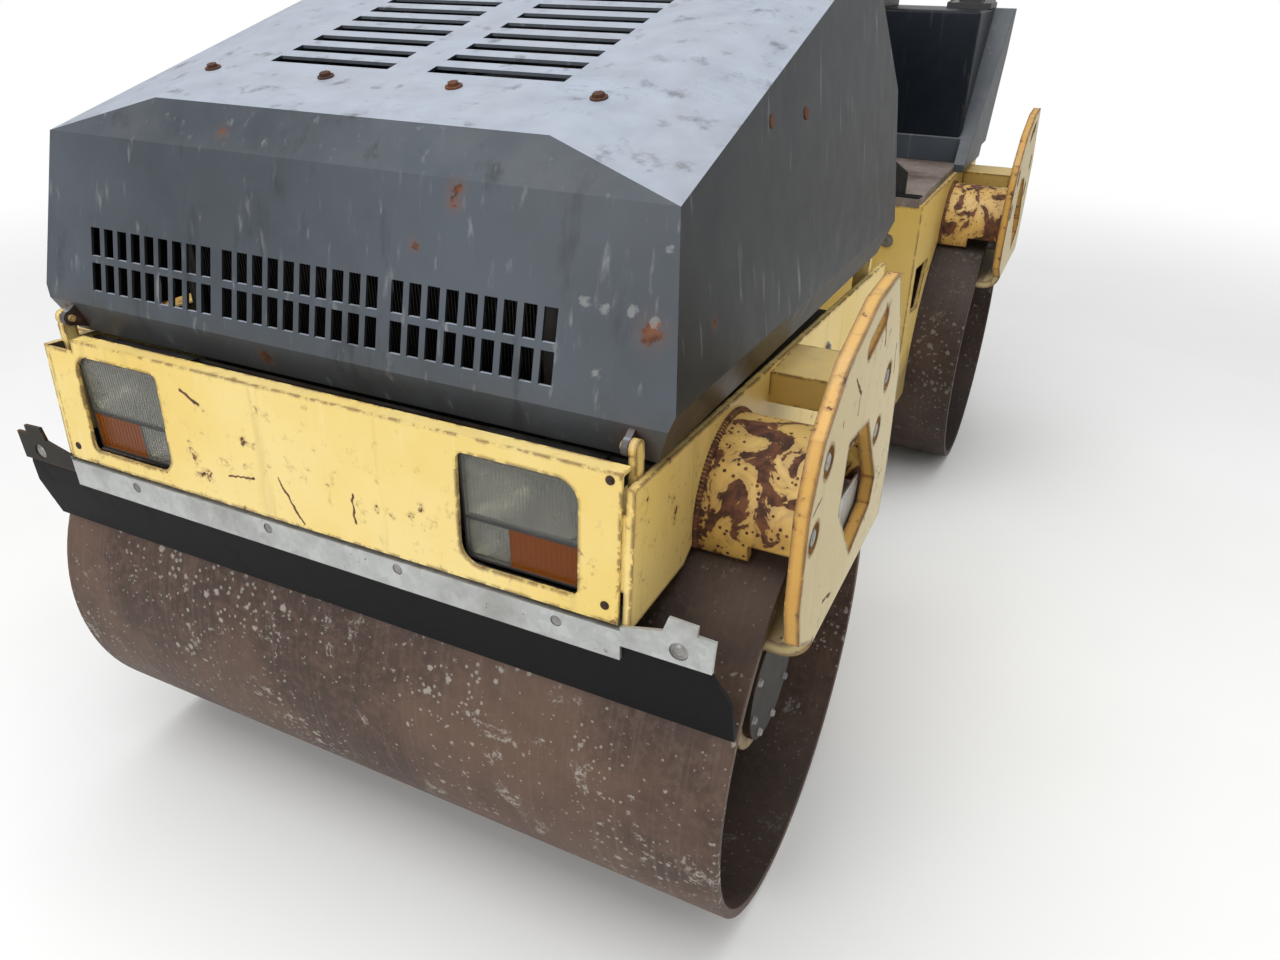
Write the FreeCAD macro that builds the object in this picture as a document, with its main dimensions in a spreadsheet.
"""Articulated tandem road roller with two steel drums, in millimetres.

The origin is on the floor, under the middle of the steering pin. +Z is up, the front of the machine
looks along -Y and its left side is at +X. The front half hangs on the link at the steering pin.
"""
import FreeCAD, Part
import math
import os

import Sketcher

# Driving sizes: name, value in millimetres or degrees, what it sets.
DRIVING_SIZES = [
    ("wheelbase", 1725, "distance between the two drum axles"),
    ("drum_width", 1200, "rolling width of each drum"),
    ("drum_radius", 350, "outer radius of each drum"),
    ("drum_shell", 15, "thickness of the drum's rolled shell"),
    ("disc_inset", 205, "from the drum's rim to the face of its end disc"),
    ("disc_wall", 15, "thickness of the drum's end disc"),
    ("buffer_circle", 95, "radius of the ring of rubber buffers"),
    ("buffer_radius", 30, "radius of a rubber buffer"),
    ("buffer_length", 60, "length of a rubber buffer"),
    ("buffer_count", 6, "rubber buffers at each end of a drum"),
    ("drive_plate_radius", 140, "radius of the plate on the buffers"),
    ("drive_plate", 12, "thickness of the plate on the buffers"),
    ("shaft_radius", 40, "radius of the drum's stub shaft"),
    ("shaft_play", 0.05, "radial clearance of every shaft and pin in its bore"),
    ("motor_radius", 72, "radius of the drum motor's housing"),
    ("motor_length", 28, "length of the motor's housing inside its plate"),
    ("motor_flange_radius", 98, "radius of the motor's bolted flange"),
    ("motor_flange", 14, "thickness of the motor's bolted flange"),
    ("frame_inset", 125, "from the drum's rim inwards to the outer face of a side plate"),
    ("side_plate", 10, "thickness of a side plate"),
    ("overhang", 4, "how far the side plates reach past the drum"),
    ("front_top_rise", 142, "top of the front side plates over the drum's top, at their front end"),
    ("front_tail_rise", 90, "top of the front side plates over the drum's top, at their rear end"),
    ("front_tail_y", -5, "rear end of the front side plates"),
    ("rear_top_rise", 135, "top of the rear side plates over the drum's top"),
    ("rear_nose_y", 358, "front end of the rear side plates"),
    ("skirt_drop", 40, "lower edge of the side plates outside the drums, under the drum's top"),
    ("belly_z", 300, "lower edge of the side plates between the drums"),
    ("window_margin", 42, "from the front end of a rear side plate to the window in it"),
    ("window_length", 160, "length of the window in a rear side plate"),
    ("window_height", 112, "height of the window in a rear side plate at its front"),
    ("window_rise", 80, "lower edge of that window over the articulation"),
    ("window_point", 100, "from the front of that window to its lowest corner"),
    ("drum_gap", 18, "clearance of the side plates over a drum"),
    ("deck_rise", 16, "underside of the deck over the drum's top"),
    ("deck_wall", 8, "thickness of the deck over a drum"),
    ("bulkhead", 15, "thickness of the cross plates"),
    ("front_bulkhead_y", -185, "front face of the front half's cross plate"),
    ("carrier_radius", 111, "outer radius of the arched drum carrier"),
    ("carrier_wall", 12, "wall of the arched drum carrier"),
    ("carrier_rise", 1, "height of the carrier's centre line over the drum's top"),
    ("carrier_offset", 59, "from the axle outwards to the carrier's centre line"),
    ("carrier_gap", 8, "clearance of the carrier over the drum"),
    ("arm_offset", 55, "from the drum's rim outwards to the outer face of an arm"),
    ("arm_plate", 18, "thickness of an arm"),
    ("arm_bend", 22, "inner radius of the arm's bend"),
    ("arm_bend_drop", 83, "where the arm starts to bend inwards, under the drum's top"),
    ("arm_reach", 76, "length of the arm's foot inside the drum"),
    ("foot_gap", 9, "clearance between the arm's foot and the drum's shell"),
    ("arm_rear", 130, "inner edge of the arm's foot, from the axle"),
    ("arm_height", 393, "height of the arm over its bend"),
    ("arm_depth", 300, "how far the arm bulges out from the axle"),
    ("arm_hub_radius", 118, "radius of the arm's round lower end"),
    ("shelf_y", 106, "from the axle inwards to the side shelf"),
    ("shelf_depth", 130, "length of the side shelf along the machine"),
    ("shelf_height", 48, "height of the side shelf"),
    ("shelf_drop", 26, "top of the side shelf under the front end of the side plates' top"),
    ("shelf_wall", 6, "wall of the side shelf"),
    ("shelf_set_back", 32, "from the arm's inner face inwards to the side shelf's outer face"),
    ("panel_bottom_drop", 32, "lower edge of the end panels, under the drum's top"),
    ("panel_top_rise", 160, "upper edge of the end panels over the drum's top"),
    ("panel_overhang", 8, "how far the foot of the end panel reaches past the drum"),
    ("panel_lean", 10, "how far the end panel leans back over its height"),
    ("panel_side_gap", 4, "gap between an end panel and the side plates beside it"),
    ("panel_wall", 5, "thickness of the end panel"),
    ("panel_flange", 22, "depth of the end panel's folded top"),
    ("notch_width", 53, "width of the cut corner of the front panel"),
    ("notch_height", 18, "height of the cut corner of the front panel"),
    ("lamp_margin", 53, "from the end of the panel to the outer edge of a lamp opening"),
    ("lamp_width", 163, "width of a lamp opening"),
    ("lamp_drop", 10, "lower edge of a lamp opening, under the drum's top"),
    ("lamp_height", 148, "height of a lamp opening"),
    ("lamp_depth", 70, "depth of a lamp housing"),
    ("lamp_wall", 4, "wall of a lamp housing"),
    ("lamp_recess", 14, "from the panel's foot back to the lamp's face"),
    ("lens_wall", 5, "thickness of a lens"),
    ("lamp_split", 0.6, "share of a lamp's height that the upper lens takes"),
    ("indicator_share", 0.6, "share of a lamp's width that the amber lens takes"),
    ("bar_side_gap", 0, "gap between the scraper's angle bar and the side plates"),
    ("bar_drop", 80, "lower edge of the scraper's angle bar, under the drum's top"),
    ("bar_height", 42, "height of the angle bar's upright leg"),
    ("bar_leg", 46, "depth of the angle bar's level leg"),
    ("bar_wall", 5, "thickness of the angle bar"),
    ("strip_wall", 8, "thickness of the scraper's rubber strip"),
    ("strip_angle", 62, "where the strip points at the drum, from straight up"),
    ("strip_gap", 5, "clearance between the rubber strip and the drum"),
    ("strip_corner_x", 34, "width of the cut upper corner of the rubber strip"),
    ("strip_corner_z", 70, "height of the cut upper corner of the rubber strip"),
    ("bracket_wall", 5, "thickness of the scraper's end brackets"),
    ("hood_overlap", 25, "how far the hood's side fold is outside a side plate"),
    ("hood_lean", 25, "how much narrower the hood is at its front shoulder than at its side fold"),
    ("hood_side_fold", 67, "height of the hood's side fold over its foot"),
    ("hood_foot_inset", 26, "from the side fold inwards to the hood's foot"),
    ("hood_set_back", 34, "from the drum's front back to where the line of the hood's face meets its foot"),
    ("hood_foot_rise", 148, "lower front corner of the hood over the drum's top"),
    ("hood_bend_rise", 49, "height of the hood's front fold over its foot"),
    ("hood_return", 19, "from the front fold back to the hood's foot"),
    ("hood_face_height", 274, "height of the hood's face up to its front shoulder"),
    ("hood_shoulder_rise", 49, "front end of the hood's top over its shoulder"),
    ("hood_top_inset", 174, "how much narrower the hood's top is than its shoulder, each side"),
    ("hood_top_front", 208, "from the axle to the front end of the hood's top"),
    ("hood_rise", 14.1, "slope of the hood's top in degrees"),
    ("hood_crest", 562, "from the axle to the rear end of the hood's top"),
    ("hood_heel", 758, "from the axle to the hood's rear edge"),
    ("hood_heel_height", 303, "height of the hood's upright rear face"),
    ("hood_tail_rise", 134, "lower rear corner of the hood over the drum's top"),
    ("hood_wall", 4, "thickness of the hood's sheet"),
    ("hinge_set_back", 38, "from the drum's front back to the hood's hinge"),
    ("hinge_rise", 175, "height of the hood's hinge over the drum's top"),
    ("hinge_inset", 29, "from a side plate's outer face inwards to a hinge lug"),
    ("hinge_lug", 8, "thickness of the hinge lugs and their brackets"),
    ("hinge_eye", 11, "outer radius of the hinge lugs"),
    ("hinge_pin", 5, "radius of the hood's hinge pin"),
    ("rest_gap", 0.3, "gap between the closed hood and its rests"),
    ("grille_rise", 71, "lower edge of the hood's front grille over the hood's foot"),
    ("grille_cell_height", 38, "height of a grille cell"),
    ("grille_row_pitch", 47, "distance between the two rows of grille cells"),
    ("grille_cell_width", 17.5, "width of a grille cell"),
    ("grille_left_margin", 75, "from the shoulder's end to the first grille cell"),
    ("grille_right_margin", 128, "from the last grille cell to the shoulder's end"),
    ("grille_panel_gap", 20, "gap between the three panels of grille cells"),
    ("slot_count", 8, "louvre slots in each row on the hood's top"),
    ("slot_first", 50, "from the axle to the first louvre slot"),
    ("slot_pitch", 44, "distance between louvre slots"),
    ("slot_width", 22, "width of a louvre slot"),
    ("slot_inner_x", 32, "inner end of a louvre slot"),
    ("slot_outer_x", 236, "outer end of a louvre slot"),
    ("engine_length", 540, "length of the engine"),
    ("engine_width", 420, "width of the engine"),
    ("engine_height", 400, "height of the engine"),
    ("engine_front", 90, "from the axle to the engine's front end"),
    ("radiator_width", 620, "width of the radiator"),
    ("radiator_wall", 55, "thickness of the radiator"),
    ("radiator_height", 360, "height of the radiator"),
    ("radiator_gap", 51, "from the nose plate back to the radiator"),
    ("pin_radius", 30, "radius of the steering pin"),
    ("link_radius", 62, "outer radius of the link's upright hub"),
    ("link_height", 136, "height of the link's upright hub"),
    ("link_rise", 130, "height of the articulation over the drum's axle"),
    ("ear_wall", 25, "thickness of the steering ears"),
    ("ear_gap", 2, "end play between the link's hub and the ears"),
    ("ear_root", 230, "half width of the ears at their root"),
    ("trunnion_radius", 45, "radius of the trunnion that the front half rolls on"),
    ("boss_radius", 75, "outer radius of the boss round the trunnion"),
    ("boss_length", 50, "length of the boss behind its cross plate"),
    ("link_reach", 115, "from the steering pin to the link's front face"),
    ("lever_reach", 120, "from the steering pin to the cylinder's rod eye"),
    ("cylinder_length", 330, "from the cylinder's tail pin to its rod eye"),
    ("barrel_radius", 32, "outer radius of the steering cylinder's barrel"),
    ("barrel_length", 205, "length of the barrel from its tail pin"),
    ("bore_radius", 25, "bore of the steering cylinder"),
    ("rod_radius", 14, "radius of the steering cylinder's rod"),
    ("eye_radius", 25, "outer radius of the cylinder's eyes"),
    ("eye_width", 30, "width of the cylinder's eyes"),
    ("mat_wall", 16, "thickness of the floor with its mat"),
    ("console_y", 887, "front face of the seat console"),
    ("console_side_gap", 13, "from a side plate's outer face inwards to the seat console"),
    ("console_rise", 400, "top of the seat console over the rear side plates"),
    ("rear_body_overlap", 15, "how far the rear body's foot is outside a side plate"),
    ("rear_body_flare", 26, "how much wider the rear body is at its top"),
    ("rear_body_overhang", 5.5, "how far the rear body reaches past the drum"),
    ("seam_set_back", 68, "from the rear body's end to the upper end of the console's slanted seam"),
    ("seat_y", 770, "front edge of the seat"),
    ("seat_depth", 390, "depth of the seat cushion"),
    ("seat_width", 460, "width of the seat"),
    ("seat_base_height", 45, "height of the seat's base over the console"),
    ("cushion_height", 95, "height of the seat cushion"),
    ("back_height", 400, "height of the seat's back"),
    ("back_wall", 80, "thickness of the seat's back"),
    ("shield_y", 376, "front face of the foot shield"),
    ("shield_wall", 8, "thickness of the foot shield"),
    ("shield_foot_x", 425, "half width of the foot shield at the floor"),
    ("shield_neck_x", 368, "half width of the foot shield over its flared foot"),
    ("shield_head_x", 215, "half width of the foot shield at its top"),
    ("shield_step_z", 55, "height of the foot shield's flared foot over the floor"),
    ("shield_neck_z", 95, "height over the floor where the foot shield's flare ends"),
    ("shield_head_drop", 60, "from the foot shield's top down to its sloping corners"),
    ("shield_rise", 315, "top of the foot shield over the rear side plates"),
    ("dash_width", 420, "width of the dash console"),
    ("dash_depth", 210, "depth of the dash console"),
    ("dash_height", 150, "height of the dash console at its front"),
    ("column_radius", 28, "radius of the steering column"),
    ("column_length", 130, "length of the steering column over the dash"),
    ("column_tilt", 28, "tilt of the steering column"),
    ("lever_radius", 7, "radius of the travel lever"),
    ("lever_length", 120, "length of the travel lever"),
    ("knob_radius", 21, "radius of the travel lever's knob"),
    ("wheel_radius", 190, "outer radius of the steering wheel"),
    ("wheel_rim", 13, "radius of the steering wheel's rim"),
    ("roll_bar_section", 70, "side of the roll bar's square tube"),
    ("roll_bar_inset", 75, "from a side plate's outer face inwards to the middle of a roll bar post"),
    ("roll_bar_set_back", 93, "from the rear body's end to the middle of the roll bar"),
    ("roll_bar_height", 1065, "height of the roll bar over the seat console"),
    ("foot_plate", 120, "side of the roll bar's foot plate"),
    ("foot_plate_wall", 14, "thickness of the roll bar's foot plate"),
    ("foot_hole_radius", 9, "radius of the holes in the roll bar's foot plate"),
    ("foot_hole_pitch", 86, "distance between the foot plate's holes"),
    ("slot_length", 90, "length of the lashing slot in an arm"),
    ("lashing_width", 24, "width of the lashing slot in an arm"),
]

doc = FreeCAD.newDocument("road_roller")
sheet = doc.addObject("Spreadsheet::Sheet", "Sizes")


class Length:
    """A number with the expression that binds it to the sheet."""

    def __init__(self, value, text):
        self.value = value
        self.text = text

    def join(self, other, sign, value, swapped=False):
        other = as_length(other)
        left, right = (other, self) if swapped else (self, other)
        return Length(value(left.value, right.value), f"({left.text} {sign} {right.text})")

    def __add__(self, other):
        return self.join(other, "+", lambda a, b: a + b)

    def __radd__(self, other):
        return self.join(other, "+", lambda a, b: a + b, swapped=True)

    def __sub__(self, other):
        return self.join(other, "-", lambda a, b: a - b)

    def __rsub__(self, other):
        return self.join(other, "-", lambda a, b: a - b, swapped=True)

    def __mul__(self, other):
        return self.join(other, "*", lambda a, b: a * b)

    def __rmul__(self, other):
        return self.join(other, "*", lambda a, b: a * b, swapped=True)

    def __truediv__(self, other):
        return self.join(other, "/", lambda a, b: a / b)

    def __neg__(self):
        return Length(-self.value, f"(0 - {self.text})")


def as_length(number):
    return number if isinstance(number, Length) else Length(number, repr(number))


def sine(angle):
    return Length(math.sin(math.radians(angle.value)), f"sin({angle.text})")


def cosine(angle):
    return Length(math.cos(math.radians(angle.value)), f"cos({angle.text})")


def root(square):
    return Length(math.sqrt(square.value), f"sqrt({square.text})")


class Sizes:
    """Every driving size by its name."""


size = Sizes()
for row, (alias, number, meaning) in enumerate(DRIVING_SIZES, start=1):
    sheet.set(f"A{row}", meaning)
    sheet.set(f"B{row}", str(number))
    sheet.setAlias(f"B{row}", alias)
    setattr(size, alias, Length(number, f"Sizes.{alias}"))
doc.recompute()


# Building blocks that bind each size and place to the sheet.
def bind(thing, name, number):
    number = as_length(number)
    if "Sizes." in number.text:
        thing.setExpression(name, number.text)
    elif "." in name:
        head, _, tail = name.partition(".Base.")
        placement = getattr(thing, head)
        setattr(placement.Base, tail, number.value)
        setattr(thing, head, placement)
    else:
        setattr(thing, name, number.value)


def place(thing, x, y, z):
    for letter, number in zip("xyz", (x, y, z)):
        bind(thing, f"Placement.Base.{letter}", number)


def box(name, x, y, z):
    """A box between two limits along each axis."""
    solid = doc.addObject("Part::Box", name)
    for side, (low, high) in zip(("Length", "Width", "Height"), (x, y, z)):
        bind(solid, side, as_length(high) - low)
    place(solid, x[0], y[0], z[0])
    return solid


AXIS_TURN = {
    "X": FreeCAD.Rotation(FreeCAD.Vector(0, 1, 0), 90),
    "Y": FreeCAD.Rotation(FreeCAD.Vector(1, 0, 0), -90),
    "Z": FreeCAD.Rotation(),
}


def rod(name, axis, start, radius, length):
    """A cylinder from a start point along +X, +Y or +Z."""
    solid = doc.addObject("Part::Cylinder", name)
    solid.Placement = FreeCAD.Placement(FreeCAD.Vector(), AXIS_TURN[axis])
    bind(solid, "Radius", radius)
    bind(solid, "Height", length)
    place(solid, *start)
    return solid


def cut(name, base, *tools):
    for number, tool in enumerate(tools):
        step = doc.addObject("Part::Cut", f"{name}_{number}")
        step.Base = base
        step.Tool = tool
        base = step
    return base


def fuse(name, *shapes):
    union = doc.addObject("Part::MultiFuse", name)
    union.Shapes = list(shapes)
    union.Refine = True
    return union


def common(name, *shapes):
    overlap = doc.addObject("Part::MultiCommon", name)
    overlap.Shapes = list(shapes)
    return overlap


def group(name, *shapes):
    """Several solids that don't touch, kept together as one node."""
    bundle = doc.addObject("Part::Compound", name)
    bundle.Links = list(shapes)
    return bundle


def mirrored(name, source, normal):
    """The source, mirrored in a plane through the origin."""
    copy = doc.addObject("Part::Mirroring", name)
    copy.Source = source
    copy.Base = FreeCAD.Vector(0, 0, 0)
    copy.Normal = FreeCAD.Vector(*normal)
    return copy


def moved(name, source):
    """The source of the front drum, once more at the rear drum."""
    copy = group(name, source)
    bind(copy, "Placement.Base.y", size.wheelbase)
    return copy


def turned(name, source):
    """The source, half a turn about the upright line through the front drum's middle."""
    copy = group(name, source)
    copy.Placement = FreeCAD.Placement(FreeCAD.Vector(), FreeCAD.Rotation(FreeCAD.Vector(0, 0, 1), 180))
    bind(copy, "Placement.Base.y", 2 * axle_y)
    return copy


LEFT_RIGHT = (1, 0, 0)
FRONT_REAR = (0, 1, 0)
SKETCH_PLANES = {"X": "YZ_Plane", "Y": "XZ_Plane", "Z": "XY_Plane"}


def prism(name, axis, low, high, corners):
    """A padded sketch: corners in the plane across the axis, from low to high along it."""
    body = doc.addObject("PartDesign::Body", name)
    sketch = body.newObject("Sketcher::SketchObject", f"{name}_outline")
    plane = [feature for feature in body.Origin.OriginFeatures if feature.Role == SKETCH_PLANES[axis]]
    sketch.AttachmentSupport = [(plane[0], "")]
    sketch.MapMode = "FlatFace"
    # The sketch plane across Y looks along -Y, so its pad starts at the high limit.
    start = -as_length(high) if axis == "Y" else as_length(low)
    bind(sketch, "AttachmentOffset.Base.z", start)
    corners = [(as_length(across), as_length(up)) for across, up in corners]
    points = [FreeCAD.Vector(across.value, up.value, 0) for across, up in corners]
    count = len(points)
    for index in range(count):
        sketch.addGeometry(Part.LineSegment(points[index], points[(index + 1) % count]))
    for index in range(count):
        sketch.addConstraint(Sketcher.Constraint("Coincident", index, 2, (index + 1) % count, 1))
    for index, corner in enumerate(corners):
        for kind, number in zip(("DistanceX", "DistanceY"), corner):
            rule = sketch.addConstraint(Sketcher.Constraint(kind, -1, 1, index, 1, number.value))
            bind_rule(sketch, rule, number)
    pad = body.newObject("PartDesign::Pad", f"{name}_pad")
    pad.Profile = sketch
    bind(pad, "Length", as_length(high) - low)
    body.Tip = pad
    return body


def bind_rule(sketch, rule, number):
    if "Sizes." in number.text:
        sketch.setExpression(f"Constraints[{rule}]", number.text)


nodes = {}


def keep(node, shape):
    """Names a finished sub-part: its label is its node and its file."""
    shape.Label = node
    nodes[node] = shape
    return shape


# Places that several sub-parts share.
axle_y = -size.wheelbase / 2
half_drum = size.drum_width / 2
drum_top = size.drum_radius * 2
shell_inside = size.drum_radius - size.drum_shell
disc_face = half_drum - size.disc_inset
plate_face = half_drum - size.frame_inset
plate_inside = plate_face - size.side_plate
panel_x = plate_inside - size.panel_side_gap
side_reach = size.drum_radius + size.overhang
front_top_z = drum_top + size.front_top_rise
front_tail_z = drum_top + size.front_tail_rise
rear_top_z = drum_top + size.rear_top_rise
skirt_z = drum_top - size.skirt_drop
deck_z = drum_top + size.deck_rise
carrier_z = drum_top + size.carrier_rise
link_z = size.drum_radius + size.link_rise
panel_bottom_z = drum_top - size.panel_bottom_drop
panel_top_z = drum_top + size.panel_top_rise
panel_reach = size.drum_radius + size.panel_overhang
bar_z = drum_top - size.bar_drop
bar_end = plate_inside - size.bar_side_gap
hinge_y = axle_y - size.drum_radius + size.hinge_set_back
hinge_z = drum_top + size.hinge_rise
hinge_x = plate_face - size.hinge_inset
hood_tail_z = drum_top + size.hood_tail_rise
console_top_z = rear_top_z + size.console_rise
console_x = plate_face - size.console_side_gap
shield_top_z = rear_top_z + size.shield_rise
rear_body_x = plate_face + size.rear_body_overlap
rear_body_y = -axle_y + size.drum_radius + size.rear_body_overhang
seam_top_y = rear_body_y - size.seam_set_back
roll_bar_y = rear_body_y - size.roll_bar_set_back
arm_face = half_drum + size.arm_offset
arm_inside = arm_face - size.arm_plate
arm_bend_z = drum_top - size.arm_bend_drop
foot_top_z = arm_bend_z - size.arm_bend
foot_low_z = foot_top_z - size.arm_plate
foot_corner = shell_inside - size.foot_gap
foot_rise = foot_top_z - size.drum_radius
arm_front = root(foot_corner * foot_corner - foot_rise * foot_rise)
bend_x = arm_inside - size.arm_bend
hub_plate_x = bend_x - size.arm_reach
hub_plate_inside = hub_plate_x - size.arm_plate
buffer_end = disc_face + size.buffer_length
bore = size.shaft_radius + size.shaft_play
lamp_face_y = axle_y - panel_reach + size.lamp_recess
lamp_back_y = lamp_face_y + size.lamp_depth
lamp_outer_x = panel_x - size.lamp_margin
lamp_inner_x = lamp_outer_x - size.lamp_width
lamp_z = drum_top - size.lamp_drop
lamp_top_z = lamp_z + size.lamp_height
split_z = lamp_z + size.lamp_height * (1 - size.lamp_split)
split_x = lamp_inner_x + size.lamp_width * (1 - size.indicator_share)


def drum():
    """The front drum's rolled shell."""
    start = (-half_drum, axle_y, size.drum_radius)
    skin = rod("drum_skin", "X", start, size.drum_radius, size.drum_width)
    hollow = rod("drum_hollow", "X", start, shell_inside, size.drum_width)
    return cut("drum_shell_cut", skin, hollow)


def discs():
    """The drum's two end discs, and the drive plates on their buffers."""
    web = disc_face - size.disc_wall
    left_disc = rod("left_disc", "X", (web, axle_y, size.drum_radius), shell_inside, size.disc_wall)
    plate_start = (buffer_end, axle_y, size.drum_radius)
    plate = rod("drive_disc", "X", plate_start, size.drive_plate_radius, size.drive_plate)
    plate_bore = rod("drive_bore", "X", plate_start, bore, size.drive_plate)
    left_plate = cut("left_drive_plate", plate, plate_bore)
    right_disc = mirrored("right_disc", left_disc, LEFT_RIGHT)
    right_plate = mirrored("right_drive_plate", left_plate, LEFT_RIGHT)
    return group("front_disc_group", left_disc, right_disc, left_plate, right_plate)


def buffers():
    """The rubber buffers between the drum's end discs and its drive plates."""
    ring = []
    for index in range(int(size.buffer_count.value)):
        turn = as_length(360.0 * index) / size.buffer_count
        across = axle_y + size.buffer_circle * cosine(turn)
        up = size.drum_radius + size.buffer_circle * sine(turn)
        ring.append(rod(f"buffer_{index}", "X", (disc_face, across, up), size.buffer_radius,
                        size.buffer_length))
    left = group("left_buffers", *ring)
    return group("front_buffer_group", left, mirrored("right_buffers", left, LEFT_RIGHT))


def motor():
    """One drum motor: flange outside the arm's hub plate, housing and shaft inside it."""
    flange = rod("motor_flange_disc", "X", (hub_plate_x, axle_y, size.drum_radius),
                 size.motor_flange_radius, size.motor_flange)
    case_x = hub_plate_inside - size.motor_length
    case = rod("motor_case", "X", (case_x, axle_y, size.drum_radius), size.motor_radius,
               hub_plate_x - case_x)
    shaft_x = buffer_end - size.drive_plate
    shaft = rod("motor_shaft", "X", (shaft_x, axle_y, size.drum_radius), size.shaft_radius,
                case_x - shaft_x)
    return fuse("motor_body", flange, case, shaft)


# Corners of the arm's outline and of the window in it: share of its depth towards the machine's
# middle, share of its height.
ARM_OUTLINE = [(0.453, 0.198), (0.383, 0.608), (0.067, 1.0), (-0.267, 0.987), (-0.65, 0.891),
               (-0.9, 0.738), (-1.0, 0.547), (-0.993, 0.229), (-0.933, 0.084)]
ARM_WINDOW = [(-0.5, 0.601), (-0.18, 0.57), (0.153, 0.249), (0.12, 0.153), (-0.2, 0.087), (-0.527, 0.377)]


def arm_corner(along, up):
    return axle_y + size.arm_depth * along, arm_bend_z + size.arm_height * up


def arm():
    """The bent arm plate that reaches over the drum's rim and carries the motor inside it."""
    outline = [(axle_y - arm_front - 10, arm_bend_z), (axle_y + size.arm_rear, arm_bend_z)]
    outline += [arm_corner(along, up) for along, up in ARM_OUTLINE]
    plate = prism("arm_plate_body", "X", arm_inside, arm_face, outline)
    window_outline = [arm_corner(along, up) for along, up in ARM_WINDOW]
    window = prism("arm_window", "X", arm_inside, arm_face, window_outline)
    slot_y, slot_z = arm_corner(-0.233, 0.878)
    half_slot = (size.slot_length - size.lashing_width) / 2
    slot_low = rod("slot_low", "X", (arm_inside, slot_y - half_slot, slot_z - 9),
                   size.lashing_width / 2, size.arm_plate)
    slot_high = rod("slot_high", "X", (arm_inside, slot_y + half_slot, slot_z + 9),
                    size.lashing_width / 2, size.arm_plate)
    half_width = size.lashing_width / 2
    slot_middle = prism("slot_middle", "X", arm_inside, arm_face, [
        (slot_y - half_slot, slot_z - 9 - half_width),
        (slot_y + half_slot, slot_z + 9 - half_width),
        (slot_y + half_slot, slot_z + 9 + half_width),
        (slot_y - half_slot, slot_z - 9 + half_width),
    ])
    upright = cut("arm_upright", plate, window, slot_low, slot_high, slot_middle)
    foot_y = axle_y - arm_front
    foot_depth = arm_front + size.arm_rear
    outer_bend = rod("bend_outside", "Y", (bend_x, foot_y, arm_bend_z),
                     size.arm_bend + size.arm_plate, foot_depth)
    inner_bend = rod("bend_inside", "Y", (bend_x, foot_y, arm_bend_z), size.arm_bend, foot_depth)
    quarter = box("bend_quarter", (bend_x, arm_face), (foot_y, foot_y + foot_depth),
                  (foot_low_z, arm_bend_z))
    bend = common("arm_bend_ring", cut("bend_ring", outer_bend, inner_bend), quarter)
    foot = box("arm_foot", (hub_plate_x, bend_x), (foot_y, foot_y + foot_depth), (foot_low_z, foot_top_z))
    hub_outline = [
        (foot_y, foot_top_z),
        (axle_y + size.arm_rear, foot_top_z),
        (axle_y + size.arm_hub_radius, size.drum_radius),
        (axle_y - size.arm_hub_radius, size.drum_radius),
    ]
    hub_plate = prism("arm_hub_plate", "X", hub_plate_inside, hub_plate_x, hub_outline)
    hub_end = rod("arm_hub_end", "X", (hub_plate_inside, axle_y, size.drum_radius), size.arm_hub_radius,
                  size.arm_plate)
    hub_bore = rod("arm_hub_bore", "X", (hub_plate_inside, axle_y, size.drum_radius), size.motor_radius,
                   size.arm_plate)
    carrier = cut("arm_hub", fuse("arm_hub_blank", hub_plate, hub_end), hub_bore)
    return fuse("arm_body", upright, bend, foot, carrier)


def carrier():
    """One arched carrier: a tube cut away over the drum, from the side plate to the arm."""
    low = (plate_face, axle_y - size.carrier_offset, carrier_z)
    length = arm_inside - plate_face
    tube = rod("carrier_tube", "X", low, size.carrier_radius, length)
    hollow = rod("carrier_hollow", "X", low, size.carrier_radius - size.carrier_wall, length)
    keep_out = rod("carrier_keep_out", "X", (plate_face, axle_y, size.drum_radius),
                   size.drum_radius + size.carrier_gap, length)
    edge = plate_face + 75
    corner_y = axle_y - size.carrier_offset - size.carrier_radius
    notch = box("carrier_notch", (edge, arm_inside), (corner_y, axle_y - size.carrier_offset),
                (size.drum_radius, carrier_z - 8))
    return cut("carrier_arch", tube, hollow, keep_out, notch)


def shelf():
    """The box-shaped shelf on the side plate behind the carrier."""
    low_y = axle_y + size.shelf_y
    top_z = front_top_z - size.shelf_drop
    outer_x = arm_inside - size.shelf_set_back
    outside = box("shelf_box", (plate_face, outer_x),
                  (low_y, low_y + size.shelf_depth), (top_z - size.shelf_height, top_z))
    wall = size.shelf_wall
    hollow = box("shelf_hollow", (plate_face, outer_x - wall),
                 (low_y + wall, low_y + size.shelf_depth - wall), (top_z - size.shelf_height, top_z - wall))
    return cut("shelf_shell", outside, hollow)


def over_drum(name, length_x):
    """The space that frame plates leave free round the front drum."""
    return rod(name, "X", (-length_x, axle_y, size.drum_radius), size.drum_radius + size.drum_gap,
               2 * length_x)


def panel_tab(name):
    """The tab inside a side plate that the end panel is screwed to."""
    back = axle_y - panel_reach + size.panel_wall
    lean = size.panel_lean / (panel_top_z - size.panel_wall - panel_bottom_z)
    low_z = lamp_z + 20
    high_z = lamp_z + 120
    return prism(name, "X", plate_inside - 30, plate_inside, [
        (back + lean * (low_z - panel_bottom_z), low_z),
        (back + lean * (high_z - panel_bottom_z), high_z),
        (lamp_back_y, high_z),
        (lamp_back_y, low_z),
    ])


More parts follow.
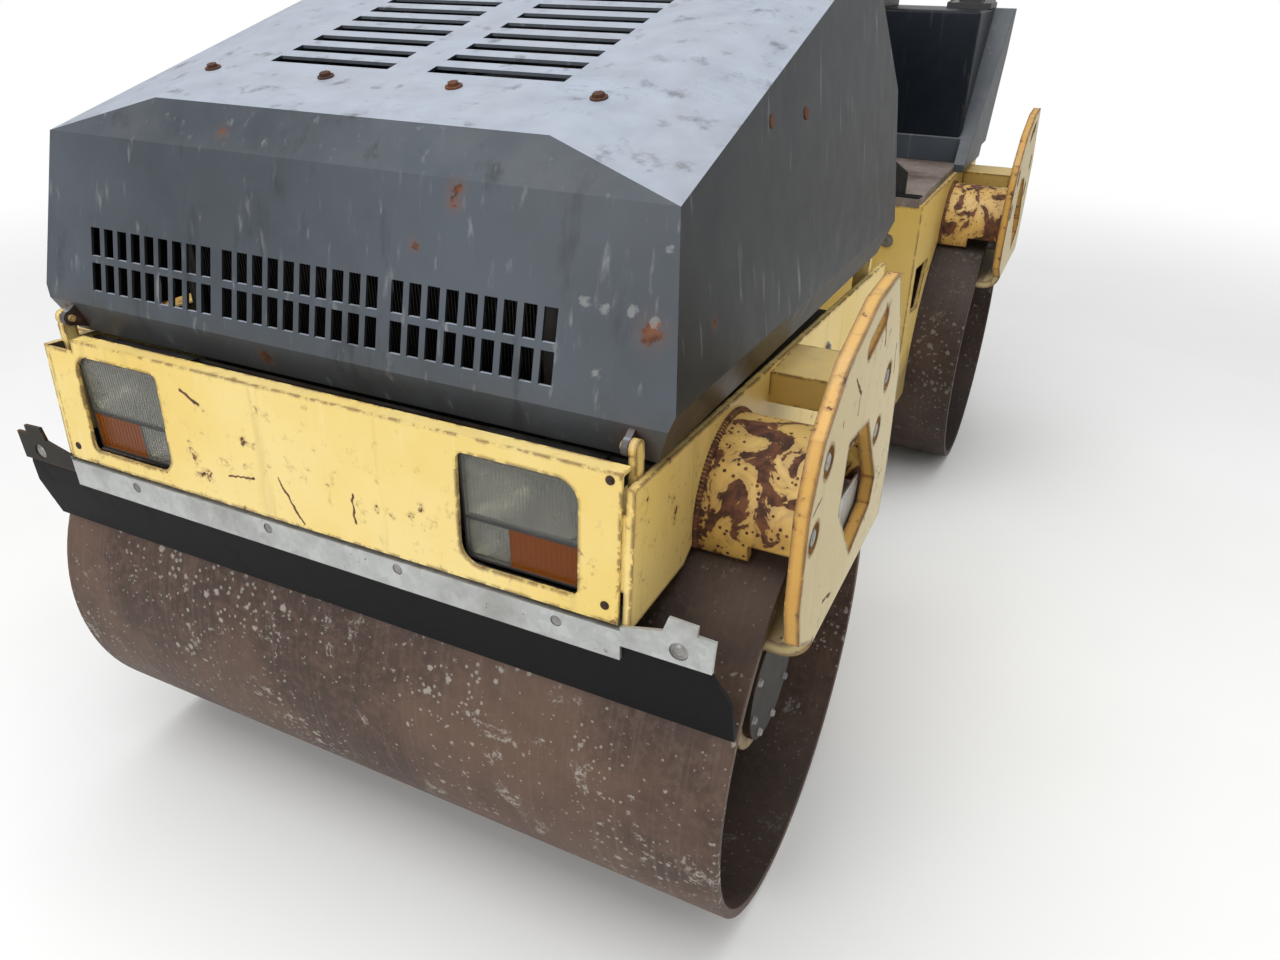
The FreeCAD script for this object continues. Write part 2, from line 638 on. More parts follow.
def hood_bracket():
    """The bracket on the frame's nose plate with the hinge pin that the hood turns on."""
    start_x = hinge_x + size.hinge_lug + 1
    top_z = front_top_z - 12
    arm_body = prism("hinge_bracket", "X", start_x, plate_inside, [
        (lamp_back_y, top_z - 60),
        (lamp_back_y, top_z),
        (hinge_y + size.hinge_eye, top_z),
        (hinge_y + size.hinge_eye, hinge_z),
        (hinge_y - size.hinge_eye + 2, hinge_z - 4),
        (hinge_y - size.hinge_eye + 2, top_z - 30),
    ])
    eye = rod("hinge_bracket_eye", "X", (start_x, hinge_y, hinge_z), size.hinge_eye,
              plate_inside - start_x)
    pin = rod("hinge_bracket_pin", "X", (hinge_x - 4, hinge_y, hinge_z), size.hinge_pin,
              size.hinge_lug + 6)
    return fuse("hinge_bracket_body", arm_body, eye, pin)


def front_frame():
    """Two side plates, the deck under the engine and the cross plate with the trunnion's boss."""
    nose_y = axle_y - side_reach
    side = prism("front_side", "X", plate_inside, plate_face, [
        (nose_y, skirt_z),
        (nose_y + size.panel_lean, front_top_z),
        (size.front_tail_y, front_tail_z),
        (size.front_tail_y, size.belly_z + 40),
        (size.front_tail_y - 60, size.belly_z),
        (axle_y + size.drum_radius - 30, size.belly_z),
        (axle_y - 150, skirt_z),
    ])
    left = cut("front_left_side", side, over_drum("front_drum_space", arm_face))
    right = mirrored("front_right_side", left, LEFT_RIGHT)
    back_y = size.front_bulkhead_y + size.bulkhead
    cross = box("front_cross", (-plate_inside, plate_inside), (size.front_bulkhead_y, back_y),
                (size.belly_z + 40, deck_z + size.deck_wall))
    deck = box("front_deck", (-plate_inside, plate_inside), (lamp_back_y, size.front_bulkhead_y),
               (deck_z, deck_z + size.deck_wall))
    nose = box("front_nose", (-plate_inside, plate_inside), (lamp_back_y, lamp_back_y + size.deck_wall),
               (skirt_z + 15, front_top_z - 10))
    left_tab = panel_tab("front_tab")
    heel_y = axle_y + size.hood_heel
    rest = box("hood_rest", (plate_inside - 30, plate_inside), (heel_y - 14, heel_y + 6),
               (front_tail_z - 50, hood_tail_z - size.rest_gap))
    hinge = hood_bracket()
    boss = rod("trunnion_boss", "Y", (0, size.front_bulkhead_y, link_z), size.boss_radius,
               size.bulkhead + size.boss_length)
    boss_bore = rod("trunnion_bore", "Y", (0, size.front_bulkhead_y, link_z),
                    size.trunnion_radius + size.shaft_play, size.bulkhead + size.boss_length)
    left_parts = fuse("front_left_fittings", left_tab, rest, hinge)
    blank = fuse("front_frame_blank", left, right, cross, deck, nose, boss, left_parts,
                 mirrored("front_right_fittings", left_parts, LEFT_RIGHT))
    return cut("front_frame_body", blank, boss_bore)


def lamp_cutter(name):
    """The opening of one lamp through the end panel, with its rounded corners."""
    reach = axle_y - panel_reach
    block = box(f"{name}_block", (lamp_inner_x, lamp_inner_x + size.lamp_width),
                (reach - 5, reach + 40), (lamp_z, lamp_z + size.lamp_height))
    doc.recompute()
    rounded = doc.addObject("Part::Fillet", name)
    rounded.Base = block
    radii = []
    for index, edge in enumerate(block.Shape.Edges, start=1):
        ends = [vertex.Point for vertex in edge.Vertexes]
        if abs(ends[0].y - ends[1].y) > 1:
            outer = ends[0].x > lamp_inner_x.value + 1
            upper = ends[0].z > lamp_z.value + 1
            radius = 28.0 if outer == upper else 10.0
            radii.append((index, radius, radius))
    rounded.Edges = radii
    return rounded


def end_panel(name, notched):
    """The folded sheet panel at the machine's end, with its two lamp openings."""
    foot = axle_y - panel_reach
    head = foot + size.panel_lean
    top = panel_top_z
    sheet_body = prism(f"{name}_sheet", "X", -panel_x, panel_x, [
        (foot, panel_bottom_z),
        (head, top),
        (head + size.panel_flange, top),
        (head + size.panel_flange, top - size.panel_wall),
        (head + size.panel_wall, top - size.panel_wall),
        (foot + size.panel_wall, panel_bottom_z),
    ])
    left_lamp = lamp_cutter(f"{name}_left_lamp")
    right_lamp = mirrored(f"{name}_right_lamp", left_lamp, LEFT_RIGHT)
    tools = [left_lamp, right_lamp]
    if notched:
        tools.append(box(f"{name}_notch",
                         (-panel_x, -panel_x + size.notch_width),
                         (foot, head + size.panel_flange), (top - size.notch_height, top)))
    return cut(f"{name}_body", sheet_body, *tools)


def lamp_housing():
    """One lamp's box, open to the front, with the bar between its lenses."""
    shell = box("lamp_shell", (lamp_inner_x, lamp_outer_x), (lamp_face_y, lamp_back_y),
                (lamp_z, lamp_top_z))
    wall = size.lamp_wall
    upper = box("lamp_upper_hollow", (lamp_inner_x + wall, lamp_outer_x - wall),
                (lamp_face_y, lamp_back_y - wall), (split_z + wall / 2, lamp_top_z - wall))
    lower = box("lamp_lower_hollow", (lamp_inner_x + wall, lamp_outer_x - wall),
                (lamp_face_y, lamp_back_y - wall), (lamp_z + wall, split_z - wall / 2))
    return cut("lamp_housing_body", shell, upper, lower)


def lens(name, low_x, high_x, low_z, high_z):
    return box(name, (low_x, high_x), (lamp_face_y, lamp_face_y + size.lens_wall), (low_z, high_z))


def clear_lenses():
    wall = size.lamp_wall
    upper = lens("upper_lens", lamp_inner_x + wall, lamp_outer_x - wall, split_z + wall / 2,
                 lamp_top_z - wall)
    lower = lens("lower_lens", lamp_inner_x + wall, split_x, lamp_z + wall, split_z - wall / 2)
    return group("clear_pair", upper, lower)


def indicator_lens():
    wall = size.lamp_wall
    return lens("amber_lens", split_x, lamp_outer_x - wall, lamp_z + wall, split_z - wall / 2)


# Outline of a scraper's end bracket: from the angle bar's end outwards, over the bar's lower edge.
BRACKET_OUTLINE = [(0, 21), (115, 21), (118, 66), (95, 67), (96, 80), (60, 82), (53, 61), (0, 48)]
strip_edge = size.drum_radius + size.strip_gap
bar_y = axle_y - panel_reach - 2


def scraper_bar():
    """The angle bar under the end panel with a bracket at each end."""
    top = bar_z + size.bar_height
    angle = prism("angle_bar", "X", -bar_end, bar_end, [
        (bar_y, bar_z),
        (bar_y, top),
        (bar_y + size.bar_leg, top),
        (bar_y + size.bar_leg, top - size.bar_wall),
        (bar_y + size.bar_wall, top - size.bar_wall),
        (bar_y + size.bar_wall, bar_z),
    ])
    corners = [(bar_end + across, bar_z + up) for across, up in BRACKET_OUTLINE]
    bracket = prism("end_bracket", "Y", bar_y, bar_y + size.bracket_wall, corners)
    return fuse("scraper_bar_body", angle, bracket, mirrored("far_bracket", bracket, LEFT_RIGHT))


def scraper_strip():
    """The rubber strip that points at the drum, with its upper corners cut off."""
    tip_y = axle_y - strip_edge * sine(size.strip_angle)
    tip_z = size.drum_radius + strip_edge * cosine(size.strip_angle)
    front = bar_y + size.bar_wall
    knee = bar_z + 14
    top = bar_z + size.bar_height - size.bar_wall
    rubber = prism("strip_body", "X", -half_drum, half_drum, [
        (front, top),
        (front + size.strip_wall, top),
        (front + size.strip_wall, knee),
        (tip_y, tip_z),
        (tip_y - size.strip_wall, tip_z - 2),
        (front, knee - 2),
    ])
    corner = prism("strip_corner", "Y", front, tip_y, [
        (half_drum - size.strip_corner_x, top),
        (half_drum, top),
        (half_drum, top - size.strip_corner_z),
    ])
    return cut("strip_cut", rubber, corner, mirrored("far_strip_corner", corner, LEFT_RIGHT))


def engine():
    low_y = axle_y - size.engine_front
    return box("engine_body", (-size.engine_width / 2, size.engine_width / 2),
               (low_y, low_y + size.engine_length),
               (deck_z + size.deck_wall, deck_z + size.deck_wall + size.engine_height))


def radiator():
    low_y = lamp_back_y + size.deck_wall + size.radiator_gap
    low_z = deck_z + size.deck_wall
    return box("radiator_body", (-size.radiator_width / 2, size.radiator_width / 2),
               (low_y, low_y + size.radiator_wall), (low_z, low_z + size.radiator_height))


def plane_cut(solid, points, inside):
    """Cuts a solid by the plane through three points and keeps the side of the inside point."""
    first, second, third = [FreeCAD.Vector(*point) for point in points]
    normal = (second - first).cross(third - first).normalize()
    if (FreeCAD.Vector(*inside) - first).dot(normal) > 0:
        normal = -normal
    span = 4000.0
    half_space = Part.makeBox(span, span, span, FreeCAD.Vector(-span / 2, -span / 2, 0))
    half_space.Placement = FreeCAD.Placement(first, FreeCAD.Rotation(FreeCAD.Vector(0, 0, 1), normal))
    return solid.cut(half_space)


GRILLE_COLUMNS = (9, 10, 9)


def hood():
    """The faceted hood: folded sheet with a grille in front and two rows of slots on top.

    Its facets are oblique, so the shape is cut from planes: their corners come from the driving sizes.
    Under a fold, the front and both sides lean inwards to the hood's foot.
    """
    rise = math.tan(math.radians(size.hood_rise.value))
    axle = axle_y.value
    top = drum_top.value
    foot_y = axle - size.drum_radius.value + size.hood_set_back.value
    foot_z = top + size.hood_foot_rise.value
    fold_x = plate_face.value + size.hood_overlap.value
    fold_rise = size.hood_side_fold.value
    foot_x = fold_x - size.hood_foot_inset.value
    bend_z = foot_z + size.hood_bend_rise.value
    edge_x = fold_x - size.hood_lean.value
    edge_z = foot_z + size.hood_face_height.value
    lean = size.hood_lean.value / (size.hood_face_height.value - fold_rise)
    top_x = edge_x - size.hood_top_inset.value
    top_z = edge_z + size.hood_shoulder_rise.value
    top_front = axle - size.hood_top_front.value
    edge_front = top_front - 40.0
    crest_y = axle + size.hood_crest.value
    crest_z = top_z + rise * (crest_y - top_front)
    crest_x = fold_x - lean * (crest_z - foot_z - fold_rise)
    heel_y = axle + size.hood_heel.value
    tail_z = hood_tail_z.value
    wall = size.hood_wall.value
    face_slope = (edge_front - foot_y) / (edge_z - foot_z)
    bend_y = foot_y + face_slope * (bend_z - foot_z)

    def body(inset):
        """The closed block, drawn in by the sheet's thickness for its inside."""
        drop = 50.0 if inset else 0.0
        low_share = 1 + drop / size.hood_bend_rise.value
        profile = [
            (bend_y + size.hood_return.value * low_share + inset, foot_z - drop),
            (bend_y + inset, bend_z),
            (edge_front + inset, edge_z - inset * 0.6),
            (top_front + inset * 0.4, top_z - inset),
            (crest_y - inset * 0.2, crest_z - inset),
            (heel_y - inset, tail_z + size.hood_heel_height.value),
            (heel_y - inset, tail_z - drop),
        ]
        wire = Part.makePolygon([FreeCAD.Vector(-fold_x, y, z) for y, z in profile + profile[:1]])
        block = Part.Face(wire).extrude(FreeCAD.Vector(2 * fold_x, 0, 0))
        for side in (-1, 1):
            side_x = side * (fold_x - inset)
            low_x = side * (foot_x - inset)
            upper_x = side * (crest_x - inset)
            middle = (0, (foot_y + heel_y) / 2, foot_z + 50)
            front_fold = (side_x, foot_y, foot_z + fold_rise)
            rear_fold = (side_x, heel_y, tail_z + fold_rise)
            block = plane_cut(block, [front_fold, rear_fold, (upper_x, crest_y, crest_z)], middle)
            block = plane_cut(block, [front_fold, rear_fold, (low_x, heel_y, tail_z)], middle)
            shoulder = (side * (edge_x - inset), edge_front + inset, edge_z - inset * 0.8)
            corner = (side * (top_x - inset * 0.3), top_front, top_z - inset)
            rear = (upper_x, crest_y, crest_z - inset)
            block = plane_cut(block, [shoulder, corner, rear], middle)
        return block

    shell = body(0.0).cut(body(wall))
    cutters = []
    # Grille cells in three panels across the front face, in two rows.
    cell_width = size.grille_cell_width.value
    panel_gap = size.grille_panel_gap.value
    room = 2 * edge_x - size.grille_left_margin.value - size.grille_right_margin.value
    bars = sum(GRILLE_COLUMNS) - len(GRILLE_COLUMNS)
    pitch = (room - 2 * panel_gap - len(GRILLE_COLUMNS) * cell_width) / bars
    low_x = size.grille_left_margin.value - edge_x
    for columns in GRILLE_COLUMNS:
        for column in range(columns):
            for row in range(2):
                low_z = foot_z + size.grille_rise.value + row * size.grille_row_pitch.value
                corner = FreeCAD.Vector(low_x + column * pitch, foot_y - 30, low_z)
                cutters.append(Part.makeBox(cell_width, 120.0, size.grille_cell_height.value, corner))
        low_x += (columns - 1) * pitch + cell_width + panel_gap
    slot_length = size.slot_outer_x.value - size.slot_inner_x.value
    for row in range(int(size.slot_count.value)):
        low_y = axle - size.slot_first.value - size.slot_width.value / 2 + row * size.slot_pitch.value
        for low_x in (size.slot_inner_x.value, -size.slot_outer_x.value):
            low_z = top_z + rise * (low_y - top_front) - 30.0
            cutters.append(Part.makeBox(slot_length, size.slot_width.value, 80.0,
                                        FreeCAD.Vector(low_x, low_y, low_z)))
    shell = shell.cut(Part.makeCompound(cutters))
    # Hinge lugs on the hood's lower return.
    pivot = FreeCAD.Vector(0, hinge_y.value, hinge_z.value)
    thick = size.hinge_lug.value
    eye = size.hinge_eye.value
    for low_x in (hinge_x.value, -hinge_x.value - thick):
        side_way = FreeCAD.Vector(low_x, 0, 0)
        outline = [(pivot.y, pivot.z - eye), (bend_y + size.hood_return.value, foot_z + 6.0),
                   (bend_y + 3.0, bend_z - 4.0), (pivot.y, pivot.z + eye)]
        wire = Part.makePolygon([FreeCAD.Vector(low_x, y, z) for y, z in outline + outline[:1]])
        lug = Part.Face(wire).extrude(FreeCAD.Vector(thick, 0, 0))
        ring = Part.makeCylinder(eye, thick, pivot + side_way, FreeCAD.Vector(1, 0, 0))
        hole = Part.makeCylinder(size.hinge_pin.value + size.shaft_play.value, thick, pivot + side_way,
                                 FreeCAD.Vector(1, 0, 0))
        shell = shell.fuse(lug.fuse(ring).cut(hole))
    feature = doc.addObject("Part::Feature", "hood_body")
    feature.Shape = shell
    feature.Placement = FreeCAD.Placement()
    return feature


def link():
    """The articulation link: upright hub, trunnion to the front and the steering lever."""
    low_z = link_z - size.link_height / 2
    hub = rod("link_hub", "Z", (0, 0, low_z), size.link_radius, size.link_height)
    hub_bore = rod("link_bore", "Z", (0, 0, low_z), size.pin_radius + size.shaft_play, size.link_height)
    neck = box("link_neck", (-52, 52), (-size.link_reach, 0), (link_z - 52, link_z + 52))
    trunnion_length = -size.front_bulkhead_y - size.link_reach
    trunnion = rod("link_trunnion", "Y", (0, size.front_bulkhead_y, link_z), size.trunnion_radius,
                   trunnion_length)
    half_eye = size.eye_width / 2 + 2
    lever = box("link_lever", (-size.lever_reach - 24, 0), (-24, 24),
                (link_z - half_eye - 16, link_z + half_eye + 16))
    fork = box("lever_gap", (-size.lever_reach - 24, -size.link_radius - 6), (-24, 24),
               (link_z - half_eye, link_z + half_eye))
    forked = cut("link_lever_fork", lever, fork)
    blank = fuse("link_blank", hub, neck, trunnion, forked)
    return cut("link_body", blank, hub_bore)


tail_y = size.cylinder_length


def steering_barrel():
    """The steering cylinder's barrel, pinned to the rear half's cross plate."""
    low_y = tail_y - size.barrel_length
    tube = rod("barrel_tube", "Y", (-size.lever_reach, low_y, link_z), size.barrel_radius,
               size.barrel_length - 28)
    room = rod("barrel_room", "Y", (-size.lever_reach, low_y + 15, link_z), size.bore_radius,
               size.barrel_length - 58)
    gland = rod("barrel_gland", "Y", (-size.lever_reach, low_y, link_z),
                size.rod_radius + size.shaft_play, 15)
    return cut("barrel_body", tube, room, gland)


def steering_rod():
    """The cylinder's rod with its piston and eye."""
    low_y = tail_y - size.barrel_length
    eye = rod("rod_eye", "Z", (-size.lever_reach, 0, link_z - size.eye_width / 2), size.eye_radius,
              size.eye_width)
    shaft = rod("rod_shaft", "Y", (-size.lever_reach, 0, link_z), size.rod_radius, low_y + 80)
    piston = rod("rod_piston", "Y", (-size.lever_reach, low_y + 80, link_z),
                 size.bore_radius - size.shaft_play, 16)
    return fuse("rod_body", eye, shaft, piston)


def rear_frame():
    """Side plates, cross plate with the steering ears and their pin, and the rear deck."""
    end_y = -axle_y + side_reach
    side = prism("rear_side", "X", plate_inside, plate_face, [
        (end_y, skirt_z),
        (end_y - size.panel_lean, rear_top_z),
        (size.rear_nose_y, rear_top_z),
        (size.rear_nose_y, size.belly_z + 40),
        (size.rear_nose_y + 50, size.belly_z),
        (-axle_y - size.drum_radius + 30, size.belly_z),
        (-axle_y + 150, skirt_z),
    ])
    space = rod("rear_drum_space", "X", (-arm_face, -axle_y, size.drum_radius),
                size.drum_radius + size.drum_gap, 2 * arm_face)
    window = prism("rear_side_window", "X", plate_inside, plate_face, [
        (size.rear_nose_y + size.window_margin, link_z + size.window_rise),
        (size.rear_nose_y + size.window_margin, link_z + size.window_rise + size.window_height),
        (size.rear_nose_y + size.window_margin + size.window_length, link_z + size.window_rise + 100),
        (size.rear_nose_y + size.window_margin + size.window_point, link_z + size.window_rise - 15),
    ])
    left = cut("rear_left_side", side, space, window)
    right = mirrored("rear_right_side", left, LEFT_RIGHT)
    wall_y = size.rear_nose_y + size.bulkhead
    wall = box("rear_cross", (-plate_inside, plate_inside), (size.rear_nose_y, wall_y),
               (size.belly_z + 40, rear_top_z - 5))
    deck_z = rear_top_z - 5
    deck = box("rear_deck", (-plate_inside, plate_inside), (wall_y, -lamp_back_y),
               (deck_z - size.deck_wall, deck_z))
    nose = box("rear_nose", (-plate_inside, plate_inside), (-lamp_back_y - size.deck_wall, -lamp_back_y),
               (skirt_z + 15, deck_z))
    left_tab = mirrored("rear_tab", panel_tab("rear_tab_blank"), FRONT_REAR)
    ears = []
    half_link = size.link_height / 2 + size.ear_gap
    for index, low_z in enumerate((link_z - half_link - size.ear_wall, link_z + half_link)):
        ear = prism(f"ear_{index}", "Z", low_z, low_z + size.ear_wall, [
            (-size.ear_root, size.rear_nose_y),
            (size.ear_root, size.rear_nose_y),
            (size.link_radius, 0),
            (-size.link_radius, 0),
        ])
        ears.append(ear)
        ears.append(rod(f"ear_end_{index}", "Z", (0, 0, low_z), size.link_radius, size.ear_wall))
    pin = rod("steering_pin", "Z", (0, 0, link_z - half_link - size.ear_wall), size.pin_radius,
              2 * (half_link + size.ear_wall))
    tail_block = box("cylinder_block", (-size.lever_reach - 30, -size.lever_reach + 30),
                     (tail_y - 28, size.rear_nose_y), (link_z - 30, link_z + 30))
    return fuse("rear_frame_body", left, right, wall, deck, nose, pin, tail_block, left_tab,
                mirrored("rear_far_tab", left_tab, LEFT_RIGHT), *ears)


def lever(dash):
    """The travel lever and its knob beside the dash."""
    foot = (size.dash_width / 2 - 15, size.shield_y + size.shield_wall + 90, shield_top_z + 100)
    stem = rod("lever_stem", "Z", foot, size.lever_radius, size.lever_length)
    knob = doc.addObject("Part::Sphere", "lever_knob")
    bind(knob, "Radius", size.knob_radius)
    place(knob, foot[0], foot[1], foot[2] + size.lever_length + size.knob_radius / 2)
    return cut("lever_cut", fuse("lever_body", stem, knob), dash)


def operator_station():
    """Floor mat, foot shield, dash, seat console, rear body and seat."""
    floor_z = rear_top_z + size.mat_wall
    mat = box("mat_body", (-plate_inside, plate_inside), (size.rear_nose_y, size.console_y + 60),
              (rear_top_z - 5, floor_z))
    keep("floor_mat", mat)
    shield = prism("shield_body", "Y", size.shield_y, size.shield_y + size.shield_wall, [
        (-size.shield_foot_x, floor_z),
        (size.shield_foot_x, floor_z),
        (size.shield_foot_x, floor_z + size.shield_step_z),
        (size.shield_neck_x, floor_z + size.shield_neck_z),
        (size.shield_neck_x, shield_top_z - size.shield_head_drop),
        (size.shield_head_x, shield_top_z),
        (-size.shield_head_x, shield_top_z),
        (-size.shield_neck_x, shield_top_z - size.shield_head_drop),
        (-size.shield_neck_x, floor_z + size.shield_neck_z),
        (-size.shield_foot_x, floor_z + size.shield_step_z),
    ])
    keep("foot_shield", shield)
    dash_y = size.shield_y + size.shield_wall
    dash = prism("dash_body", "X", -size.dash_width / 2, size.dash_width / 2, [
        (dash_y, shield_top_z - 60),
        (dash_y, shield_top_z + size.dash_height),
        (dash_y + 60, shield_top_z + size.dash_height),
        (dash_y + size.dash_depth, shield_top_z + 40),
        (dash_y + size.dash_depth, shield_top_z),
        (dash_y + 70, shield_top_z - 60),
    ])
    keep("dash_console", dash)
    column = rod("column_body", "Z", (0, 0, 0), size.column_radius, size.column_length)
    column_foot = (0.0, size.shield_y.value + size.shield_wall.value + 110.0,
                   shield_top_z.value + size.dash_height.value - 45.0)
    tilt = FreeCAD.Rotation(FreeCAD.Vector(1, 0, 0), -size.column_tilt.value)
    column.Placement = FreeCAD.Placement(FreeCAD.Vector(*column_foot), tilt)
    keep("steering_column", group("column_and_lever", cut("column_cut", column, dash), lever(dash)))
    wheel_place = FreeCAD.Placement(FreeCAD.Vector(*column_foot), tilt)
    hub_low = size.column_length + 0.5
    rim = doc.addObject("Part::Torus", "wheel_rim_ring")
    bind(rim, "Radius1", size.wheel_radius - size.wheel_rim)
    bind(rim, "Radius2", size.wheel_rim)
    bind(rim, "Placement.Base.z", hub_low + 40)
    hub = rod("wheel_hub", "Z", (0, 0, hub_low), size.column_radius + 12, 40)
    spoke_parts = [rim, hub]
    for index in range(3):
        spoke = box(f"wheel_spoke_{index}", (0, size.wheel_radius - size.wheel_rim), (-9, 9),
                    (hub_low + 26, hub_low + 34))
        spoke.Placement = FreeCAD.Placement(FreeCAD.Vector(0, -9, 0), FreeCAD.Rotation())
        turned = doc.addObject("Part::Compound", f"wheel_spoke_turned_{index}")
        turned.Links = [spoke]
        turned.Placement = FreeCAD.Placement(
            FreeCAD.Vector(), FreeCAD.Rotation(FreeCAD.Vector(0, 0, 1), 90.0 + 120.0 * index))
        spoke_parts.append(turned)
    wheel = fuse("wheel_body", *spoke_parts)
    wheel.Placement = wheel_place
    keep("steering_wheel", wheel)
    body_low = rear_top_z
    step_y = -lamp_back_y
    rear_outline = [
        (size.console_y - 50, body_low),
        (size.console_y - 50, body_low + 20),
        (seam_top_y, console_top_z),
        (rear_body_y - 30, console_top_z),
        (rear_body_y, console_top_z - 120),
        (rear_body_y, panel_top_z + 8),
        (step_y, panel_top_z + 8),
        (step_y, body_low),
    ]
    top_x = rear_body_x + size.rear_body_flare
    rear_block = prism("rear_block", "X", -top_x, top_x, rear_outline)
    flare = prism("rear_flare", "Y", size.console_y - 60, rear_body_y + 20, [
        (-rear_body_x, body_low),
        (rear_body_x, body_low),
        (top_x, console_top_z),
        (-top_x, console_top_z),
    ])
    rear = common("rear_body_block", rear_block, flare)
    mat_space = box("mat_space", (-plate_inside, plate_inside),
                    (size.console_y - 60, size.console_y + 60), (body_low - 10, floor_z))
    front_space = box("console_front_space", (-console_x, console_x),
                      (size.console_y - 60, size.console_y), (body_low - 10, console_top_z))
    keep("rear_body", cut("rear_body_cut", rear, mat_space, front_space))
    console = box("console_box", (-console_x, console_x),
                  (size.console_y, seam_top_y), (floor_z, console_top_z))
    low_space = box("console_low_space", (-console_x, console_x), (step_y, seam_top_y),
                    (floor_z, panel_top_z + 8))
    keep("seat_console", cut("seat_console_cut", console, rear, low_space))
    seat_z = console_top_z
    half_seat = size.seat_width / 2
    base = box("seat_base_body", (-half_seat + 40, half_seat - 40),
               (size.console_y, size.seat_y + size.seat_depth - 20), (seat_z, seat_z + size.seat_base_height))
    keep("seat_base", base)
    cushion_z = seat_z + size.seat_base_height
    cushion = box("cushion_body", (-half_seat, half_seat), (size.seat_y, size.seat_y + size.seat_depth),
                  (cushion_z, cushion_z + size.cushion_height))
    keep("seat_cushion", cushion)
    back_y = size.seat_y + size.seat_depth - size.back_wall
    back_z = cushion_z + size.cushion_height + 0.3
    back = prism("back_body", "X", -half_seat, half_seat, [
        (back_y, back_z),
        (back_y + size.back_wall, back_z),
        (back_y + size.back_wall + 55, back_z + size.back_height),
        (back_y + 55, back_z + size.back_height),
    ])
    keep("seat_back", back)


def roll_bar():
    """Two square posts on bolted foot plates, joined at the top."""
    half = size.roll_bar_section / 2
    middle_x = plate_face - size.roll_bar_inset
    low_z = console_top_z
    top_z = low_z + size.roll_bar_height
    plate = box("foot_plate_box",
                (middle_x - size.foot_plate / 2, middle_x + size.foot_plate / 2),
                (roll_bar_y - size.foot_plate / 2, roll_bar_y + size.foot_plate / 2),
                (low_z, low_z + size.foot_plate_wall))
    holes = []
    for index, (across, along) in enumerate(((-1, -1), (1, -1), (1, 1), (-1, 1))):
        start = (middle_x + size.foot_hole_pitch * across / 2,
                 roll_bar_y + size.foot_hole_pitch * along / 2, low_z)
        holes.append(rod(f"foot_hole_{index}", "Z", start, size.foot_hole_radius, size.foot_plate_wall))
    foot = cut("foot_plate_cut", plate, *holes)
    post = box("roll_bar_post", (middle_x - half, middle_x + half),
               (roll_bar_y - half, roll_bar_y + half),
               (low_z + size.foot_plate_wall, top_z))
    cross = box("roll_bar_cross", (-middle_x, middle_x),
                (roll_bar_y - half, roll_bar_y + half),
                (top_z - size.roll_bar_section, top_z))
    side = group("roll_bar_side", foot)
    far = mirrored("roll_bar_far_foot", side, LEFT_RIGHT)
    far_post = mirrored("roll_bar_far_post", post, LEFT_RIGHT)
    return fuse("roll_bar_body", foot, post, cross, far, far_post)


# The two ends of the machine mirror each other in the plane through the steering pin.
front_drum = keep("front_drum", drum())
keep("rear_drum", mirrored("rear_drum_copy", front_drum, FRONT_REAR))
front_discs = keep("front_drum_discs", discs())
keep("rear_drum_discs", mirrored("rear_discs_copy", front_discs, FRONT_REAR))
front_buffers = keep("front_buffers", buffers())
keep("rear_buffers", mirrored("rear_buffers_copy", front_buffers, FRONT_REAR))
left_motor = motor()
motors = keep("front_motors", group("front_motor_pair", left_motor,
                                    mirrored("right_motor", left_motor, LEFT_RIGHT)))
keep("rear_motors", mirrored("rear_motors_copy", motors, FRONT_REAR))
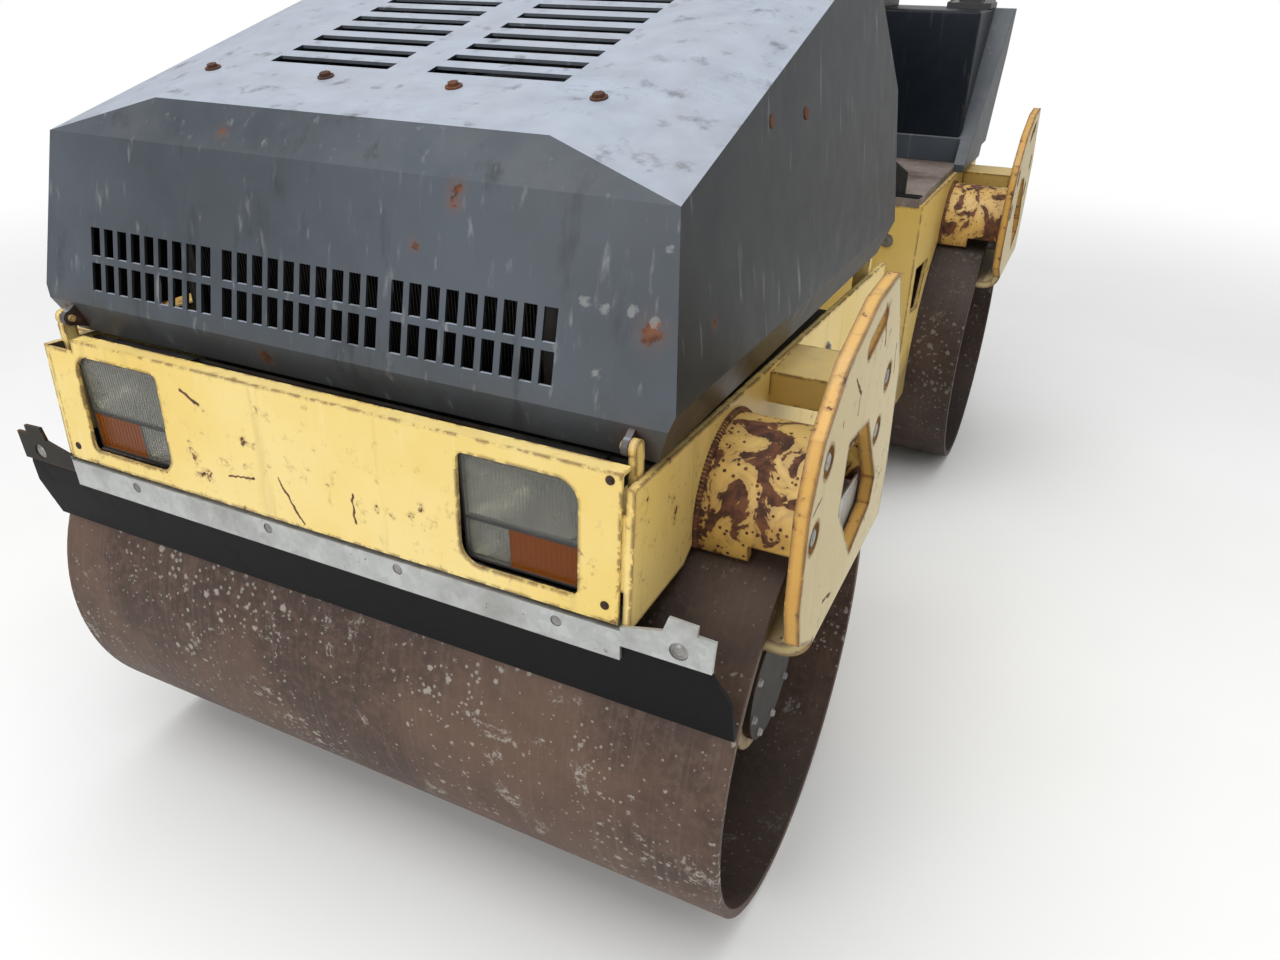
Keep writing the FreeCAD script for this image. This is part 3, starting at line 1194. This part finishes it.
# All four arms are one part: on the right it is turned half a turn, at the rear it is moved there.
front_arm_left = keep("front_arm_left", arm())
front_arm_right = keep("front_arm_right", turned("front_arm_right_copy", front_arm_left))
keep("rear_arm_left", moved("rear_arm_left_copy", front_arm_left))
keep("rear_arm_right", moved("rear_arm_right_copy", front_arm_right))
left_carrier = carrier()
left_shelf = shelf()
carriers = group("front_carrier_group", left_carrier, left_shelf,
                 turned("right_carrier", left_carrier),
                 turned("right_shelf", left_shelf))
keep("front_carriers", carriers)
keep("rear_carriers", moved("rear_carriers_copy", carriers))
keep("front_frame", front_frame())
keep("rear_frame", rear_frame())
keep("front_panel", end_panel("front_sheet", True))
keep("rear_panel", mirrored("rear_panel_copy", end_panel("rear_sheet", False), FRONT_REAR))
left_housing = lamp_housing()
housings = keep("headlamp_housings", group("front_housing_pair", left_housing,
                                           mirrored("right_housing", left_housing, LEFT_RIGHT)))
keep("tail_lamp_housings", mirrored("rear_housing_copy", housings, FRONT_REAR))
left_clear = clear_lenses()
clear = keep("headlamp_lenses", group("front_clear_pair", left_clear,
                                      mirrored("right_clear", left_clear, LEFT_RIGHT)))
keep("tail_lamp_lenses", mirrored("rear_clear_copy", clear, FRONT_REAR))
left_amber = indicator_lens()
amber = keep("front_indicator_lenses", group("front_amber_pair", left_amber,
                                             mirrored("right_amber", left_amber, LEFT_RIGHT)))
keep("rear_indicator_lenses", mirrored("rear_amber_copy", amber, FRONT_REAR))
bar = keep("front_scraper_bar", scraper_bar())
keep("rear_scraper_bar", mirrored("rear_bar_copy", bar, FRONT_REAR))
strip = keep("front_scraper_strip", scraper_strip())
keep("rear_scraper_strip", mirrored("rear_strip_copy", strip, FRONT_REAR))
keep("engine_block", engine())
keep("radiator", radiator())
keep("hood_shell", hood())
keep("centre_link", link())
keep("steering_barrel", steering_barrel())
keep("steering_rod", steering_rod())
operator_station()
keep("roll_bar", roll_bar())

doc.recompute()
for thing in doc.Objects:
    for state in ("Invalid", "Error"):
        if state in thing.State:
            raise RuntimeError(f"{thing.Name} is {state}")
os.makedirs("parts", exist_ok=True)
for node, thing in nodes.items():
    if thing.Shape.isNull() or not thing.Shape.isValid():
        raise RuntimeError(f"{node} has no valid shape")
    print(node, len(thing.Shape.Solids), "solids", round(thing.Shape.Volume / 1e6, 3), "litres")
    thing.Shape.exportStep(f"parts/{node}.step")
